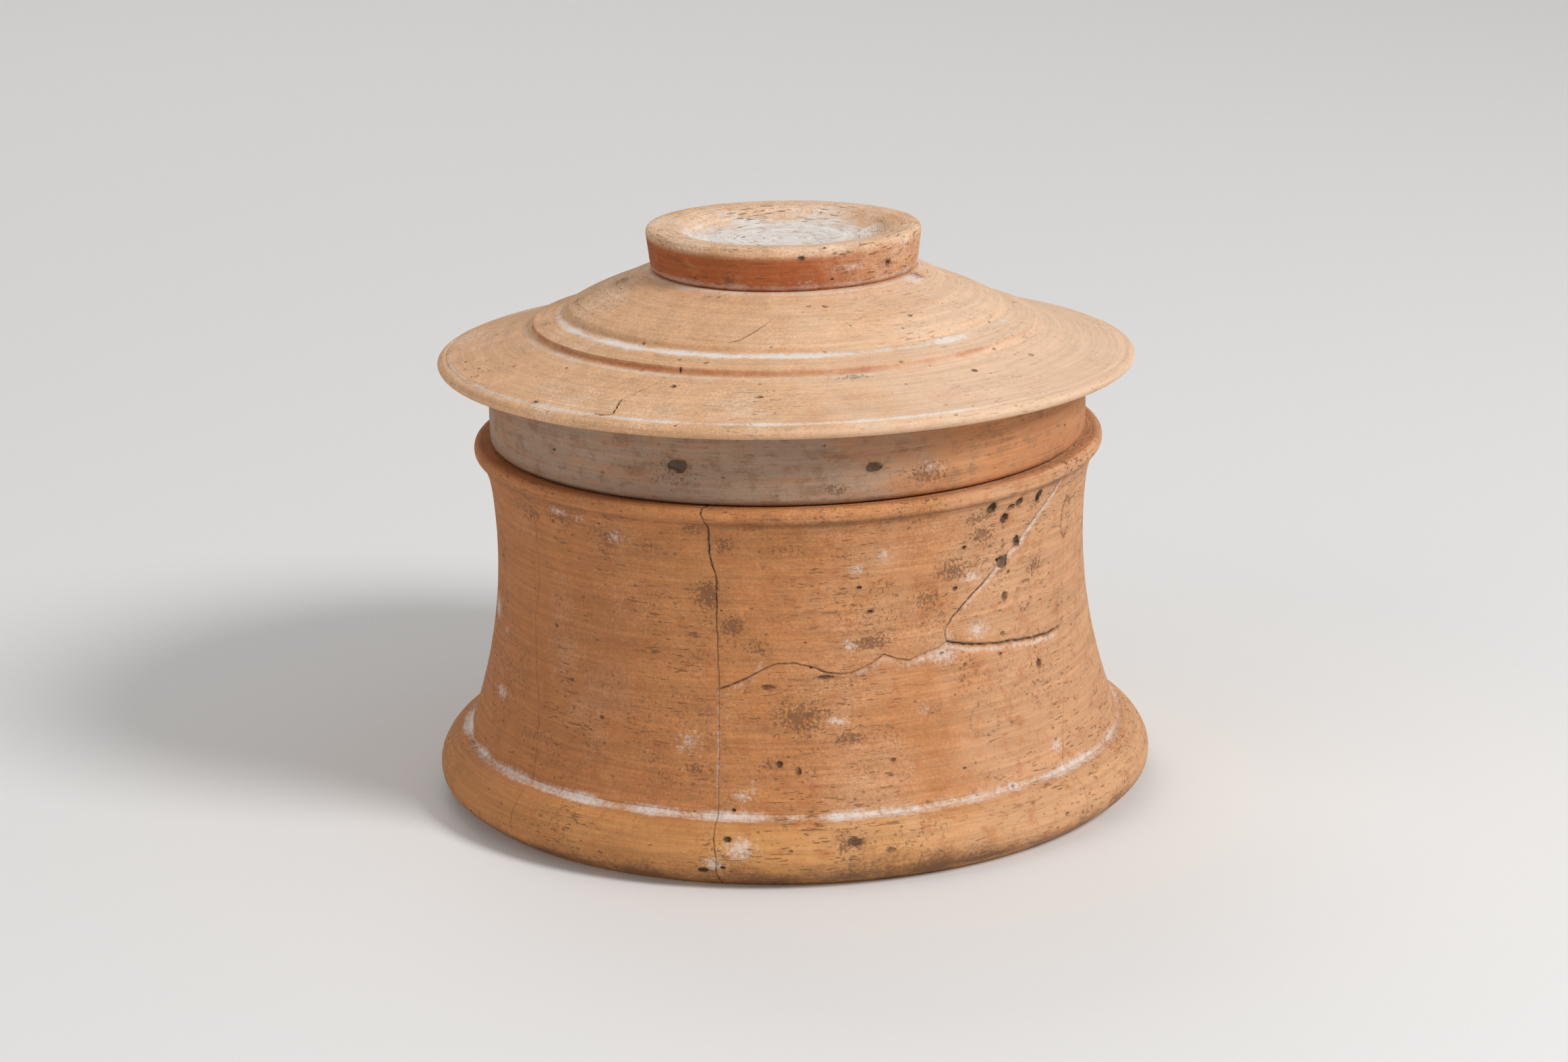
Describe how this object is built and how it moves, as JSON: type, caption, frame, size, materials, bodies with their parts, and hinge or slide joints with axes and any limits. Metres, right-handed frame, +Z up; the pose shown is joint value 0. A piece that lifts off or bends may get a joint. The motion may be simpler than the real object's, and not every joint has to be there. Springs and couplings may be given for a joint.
{
  "type": "pyxis box",
  "caption": "Round lidded box of turned terracotta with a concave wall, flared foot and lip, and a stepped lid with a dished knob that drops over a collar.",
  "frame": {"origin": "centre of the ring that the foot rests on, at the surface it stands on", "axes": "+Z up along the turning axis, -Y towards the viewer of the front"},
  "size_m": [0.1328, 0.1328, 0.1058],
  "materials": {
    "wall_clay": "matt fired clay, worn, with white and dark deposits",
    "floor_clay": "matt fired clay",
    "lid_clay": "matt fired clay, smoothed, with pale deposits in the grooves",
    "knob_clay": "matt fired clay, redder on its side, pale deposit in the dish"
  },
  "bodies": {
    "box": {"left_front_sherd": "wall_clay", "upper_front_sherd": "wall_clay", "lower_front_sherd": "wall_clay", "right_upper_sherd": "wall_clay", "back_sherd": "wall_clay", "floor_sherd": "floor_clay"},
    "lid": {"lid_cover": "lid_clay", "knob": "knob_clay"}
  },
  "joints": [
    {"name": "lid_lift", "type": "slide", "parent": "box", "child": "lid", "axis": [0, 0, 1], "range_m": [0, 0.06]}
  ]
}
